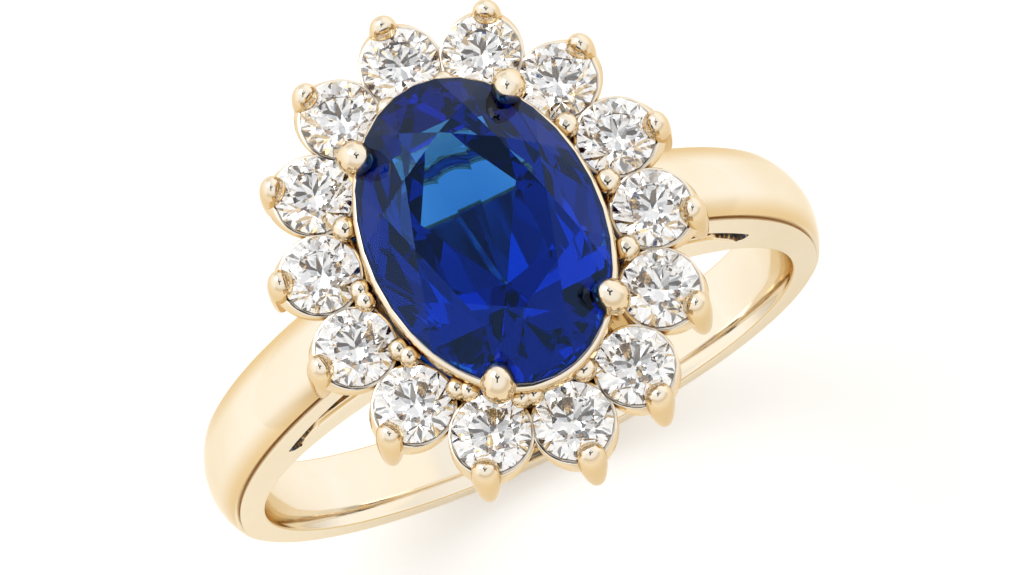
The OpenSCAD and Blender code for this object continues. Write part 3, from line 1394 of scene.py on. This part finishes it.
    def prongs(self) -> None:
        """Copy the prongs round the halo and finish them."""
        outer = self.outer_prong()
        for setting in self.settings:
            name = f"outer_prong_{setting.number}"
            piece = self.at(outer, f"{name}_cast", setting, setting.girdle)
            dress(piece, Slot.GOLD, name, finish=SETTING_GOLD)
        bpy.data.objects.remove(outer)
        beads = {twin: self.inner_prong(twin) for twin in (False, True)}
        for node in nodes_of("inner_prong"):
            place = middle_of(node)
            piece = copy_of(beads[place.x < 0 and place.y < 0.2], f"{node}_cast")
            piece.location = Vector((place.x, place.y, span(node)[0].z)) * MM
            piece.rotation_euler = (0, 0, math.atan2(place.y, place.x))
            settle(piece)
            dress(piece, Slot.GOLD, node, finish=SETTING_GOLD)
        for bead in beads.values():
            bpy.data.objects.remove(bead)

    def dress(self) -> None:
        """Build and finish every piece of the halo."""
        self.frame()
        self.prongs()
        for node in nodes_of("diamond"):
            dress(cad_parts[node], Slot.DIAMOND)


@dataclass
class Basket:
    """The sapphire, its claws and the two oval rails between them.

    Args:
        claw_r: Radius of a claw's wire.
        tip_r: Radius of a claw's rounded tip.
        seat_thick: Thickness of the rail under the sapphire.
        base_thick: Thickness of the rail on the bridge.
        skirt: How far the rail under the sapphire is carried down its pavilion.
    """

    claw_r: float = 0.34
    tip_r: float = 0.47
    seat_thick: float = 0.36
    base_thick: float = 0.6
    skirt: float = 0.4

    def claw(self, node: str) -> None:
        """Model one claw from its foot to its tip over the sapphire.

        Args:
            node: The claw's node.
        """
        low, high = span(node)
        far = Vector([max(low[i], high[i], key=abs) for i in (0, 1)])
        near = Vector([min(low[i], high[i], key=abs) for i in (0, 1)])
        tip = far - Vector([math.copysign(self.tip_r, v) for v in far])
        foot = near + Vector([math.copysign(self.claw_r, v) for v in far])
        out = tip - foot
        run, rise = out.length, high.z - low.z
        lean = -math.degrees(math.atan2(run, rise))
        steps, straight = 5, rise - 1.1
        stem = [
            Station(run * i / steps, straight * i / steps, lean, self.claw_r, self.claw_r)
            for i in range(steps + 1)
        ]
        head = [
            Station(run + 0.02, rise - 0.90, -4, 0.43, 0.43),
            Station(run - 0.01, rise - 0.66, 8, 0.51, 0.51),
            Station(run - 0.08, rise - 0.39, 24, 0.56, 0.53),
            Station(run - 0.24, rise - 0.15, 40, 0.53, 0.44),
            Station(run - 0.43, rise - 0.02, 52, 0.38, 0.28),
            Station(run - 0.52, rise + 0.01, 56, 0.11, 0.08),
        ]
        piece = draw_wire(f"{node}_cast", [*stem, *head])
        piece.location = Vector((foot.x, foot.y, low.z)) * MM
        piece.rotation_euler = (0, 0, math.atan2(out.y, out.x))
        settle(piece)
        dress(piece, Slot.GOLD, node, finish=SETTING_GOLD)

    def rails(self) -> None:
        """Model the oval rail under the sapphire and the one on the bridge."""
        rails = (("seat_rail", self.seat_thick, self.skirt), ("base_rail", self.base_thick, 0))
        for node, thick, skirt in rails:
            low, high = span(node)
            piece = oval_wire(
                f"{node}_cast",
                high.x - thick / 2,
                high.y - thick / 2,
                (low.z + high.z - skirt) / 2,
                thick,
                high.z - low.z + skirt,
            )
            dress(piece, Slot.GOLD, node, finish=SETTING_GOLD)

    def dress(self) -> None:
        """Build and finish every piece of the basket."""
        for node in nodes_of("claw"):
            self.claw(node)
        self.rails()
        dress(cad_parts["sapphire"], Slot.SAPPHIRE)


# ------------------------------------------------------------------ studio


WHITE, BLACK = (1, 1, 1), (0, 0, 0)


def facing(degrees: float) -> float:
    """Share of a unit direction that runs along a line this far off it."""
    return math.cos(math.radians(degrees))


@dataclass
class Studio:
    """The pale bench, the soft light and the camera.

    Args:
        azimuth: Degrees the camera stands round from the front.
        elevation: Degrees it stands above the ring's side.
        roll: Degrees it is rolled.
        distance: Millimetres from the finger hole's centre.
        lens: Focal length in millimetres.
        aim_up: Millimetres above the hole's centre that it looks at, as it sees up.
        aim_right: The same to the right.
        bench_r: Radius of the round bench top in millimetres.
        bench_thick: Its thickness in millimetres.
        brightness: Strength of the tent's light.
        wall: Heights, from straight down to straight up, each with the tent's colour.
        panel: Colour of the two side panels.
        vent: How much the opening in the roof is dimmed.
        stand: Colour of the stand's head.
        stand_dark: How strongly the stand's legs are darkened.
        legs: Degrees that each leg stands round from the right.
        lamp_size: Width of the lamp, in metres.
        lamp_power: Power of the lamp, in watts.
        lamp_colour: Colour of its light.
        lamp_place: Where it hangs, in metres.
    """

    azimuth: float = -12.05
    elevation: float = 76.03
    roll: float = -13.52
    distance: float = 149.0
    lens: float = 173.9
    aim_up: float = 2.126
    aim_right: float = -0.069
    bench_r: float = 45
    bench_thick: float = 4
    brightness: float = 1.05
    wall: tuple[tuple[float, Colour], ...] = (
        (-1.0, (1.1, 1.08, 1.04)),
        (-0.35, (1.05, 1.02, 0.96)),
        (-0.15, (0.86, 0.79, 0.67)),
        (0.0, (0.8, 0.71, 0.57)),
        (0.13, (0.9, 0.84, 0.74)),
        (0.35, (1.0, 0.98, 0.95)),
        (1.0, WHITE),
    )
    panel: Colour = (1.12, 1.09, 1.03)
    vent: Colour = (0.6, 0.61, 0.63)
    stand: Colour = (0.05, 0.05, 0.05)
    stand_dark: float = 0.93
    legs: tuple[float, ...] = (35, 140, 265)
    lamp_size: float = 0.3
    lamp_power: float = 0.45
    lamp_colour: Colour = (1.0, 0.98, 0.95)
    lamp_place: tuple[float, float, float] = (-0.16, 0.22, 0.34)

    def axes(self) -> tuple[Vector, Vector, Vector]:
        """Directions right, up and back as the camera stands.

        Returns:
            Three unit vectors.
        """
        az, el, roll = (math.radians(v) for v in (self.azimuth, self.elevation, self.roll))
        back = Vector((math.sin(az) * math.cos(el), -math.cos(az) * math.cos(el), math.sin(el)))
        level = Vector((0, 0, 1)).cross(back).normalized()
        above = back.cross(level)
        right = level * math.cos(roll) + above * math.sin(roll)
        up = above * math.cos(roll) - level * math.sin(roll)
        return right, up, back

    def camera(self) -> None:
        """Set the camera on its stand."""
        right, up, back = self.axes()
        place = back * self.distance
        target = up * self.aim_up + right * self.aim_right
        back = (place - target).normalized()
        right = (right - back * right.dot(back)).normalized()
        up = back.cross(right)
        data = bpy.data.cameras.new("camera")
        data.lens = self.lens
        data.clip_start = MM
        camera = bpy.data.objects.new("camera", data)
        bpy.context.scene.collection.objects.link(camera)
        turned = Matrix((right, up, back)).transposed().to_4x4()
        camera.matrix_world = Matrix.Translation(place * MM) @ turned
        bpy.context.scene.camera = camera

    def bench(self) -> None:
        """Lay a round pale bench top under the ring."""
        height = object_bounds()[0].z / MM - self.bench_thick / 2
        place = Vector((0, 0, height))
        floor = rod("bench_top", self.bench_r, self.bench_thick, 180, place)
        apply_modifier(floor, "BEVEL", width=MM, segments=4)
        polish_flats(floor, 40)
        floor.data.materials.append(PaleBench("pale_bench").make())
        floor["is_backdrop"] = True

    def sky(self) -> None:
        """Surround the ring with a soft tent: white overhead, warm at bench height."""
        world = bpy.data.worlds.new("tent")
        bpy.context.scene.world = world
        world.use_nodes = True
        tree = world.node_tree
        way = tree.nodes.new("ShaderNodeTexCoord").outputs["Generated"]
        colour = ramp(tree, along(tree, way, Vector((0, 0, 1))), self.wall)
        for side in (1, -1):
            across = along(tree, way, Vector((side, 0.5, 0)).normalized())
            panel = ramp(tree, across, ((facing(72), BLACK), (facing(36), self.panel)))
            colour = blend(tree, "LIGHTEN", 1, colour, panel)
        above = along(tree, way, Vector((0.05, 0.236, 0.97)).normalized())
        vent = ramp(tree, above, ((facing(15), WHITE), (facing(11), self.vent)))
        colour = blend(tree, "MULTIPLY", 1, colour, vent)
        colour = blend(tree, "MULTIPLY", 1, colour, self.tripod(tree, way))
        background = tree.nodes["Background"]
        background.inputs["Strength"].default_value = self.brightness
        tree.links.new(colour, background.inputs["Color"])

    def tripod(self, tree: Tree, way: Socket) -> Socket:
        """Draw the dark three-legged stand that the tent opens round.

        Args:
            tree: The world's nodes.
            way: The direction looked along.

        Returns:
            White, with the stand in dark grey.
        """
        right, up, back = self.axes()
        ahead = along(tree, way, back)
        shade = ramp(tree, ahead, ((0.994, WHITE), (0.998, self.stand)))
        behind = ramp(tree, ahead, ((0.0, WHITE), (0.2, BLACK)))
        bar = ((-0.14, WHITE), (-0.09, BLACK), (0.09, BLACK), (0.14, WHITE))
        length = ((-0.05, WHITE), (0.0, BLACK), (0.42, BLACK), (0.5, WHITE))
        for degrees in self.legs:
            angle = math.radians(degrees)
            leg = right * math.cos(angle) + up * math.sin(angle)
            side = up * math.cos(angle) - right * math.sin(angle)
            across = ramp(tree, along(tree, way, side), bar)
            reach = ramp(tree, along(tree, way, leg), length)
            mask = blend(tree, "LIGHTEN", 1, blend(tree, "LIGHTEN", 1, across, reach), behind)
            shade = blend(tree, "MULTIPLY", self.stand_dark, shade, mask)
        return shade

    def lamp(self) -> None:
        """Hang one broad soft lamp above and behind, so that the shadow falls forward."""
        data = bpy.data.lights.new("soft_lamp", "AREA")
        data.size = self.lamp_size
        data.energy = self.lamp_power
        data.color = self.lamp_colour
        lamp = bpy.data.objects.new("soft_lamp", data)
        bpy.context.scene.collection.objects.link(lamp)
        lamp.location = self.lamp_place
        lamp.rotation_euler = lamp.location.to_track_quat("Z", "Y").to_euler()

    def set_up(self) -> None:
        """Make everything that isn't the ring."""
        self.camera()
        self.bench()
        self.sky()
        self.lamp()
        scene = bpy.context.scene
        scene.view_settings.view_transform = "Standard"
        scene.cycles.max_bounces = 24
        scene.cycles.glossy_bounces = 16
        scene.cycles.transmission_bounces = 20


def main() -> None:
    """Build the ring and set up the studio."""
    logging.basicConfig(level=logging.INFO, format="%(name)s: %(message)s")
    put_tools_down()
    for assembly in (Shank(), Halo(), Basket()):
        log.info("building %s", type(assembly).__name__)
        assembly.dress()
    Studio().set_up()


if __name__ == "__main__":
    main()
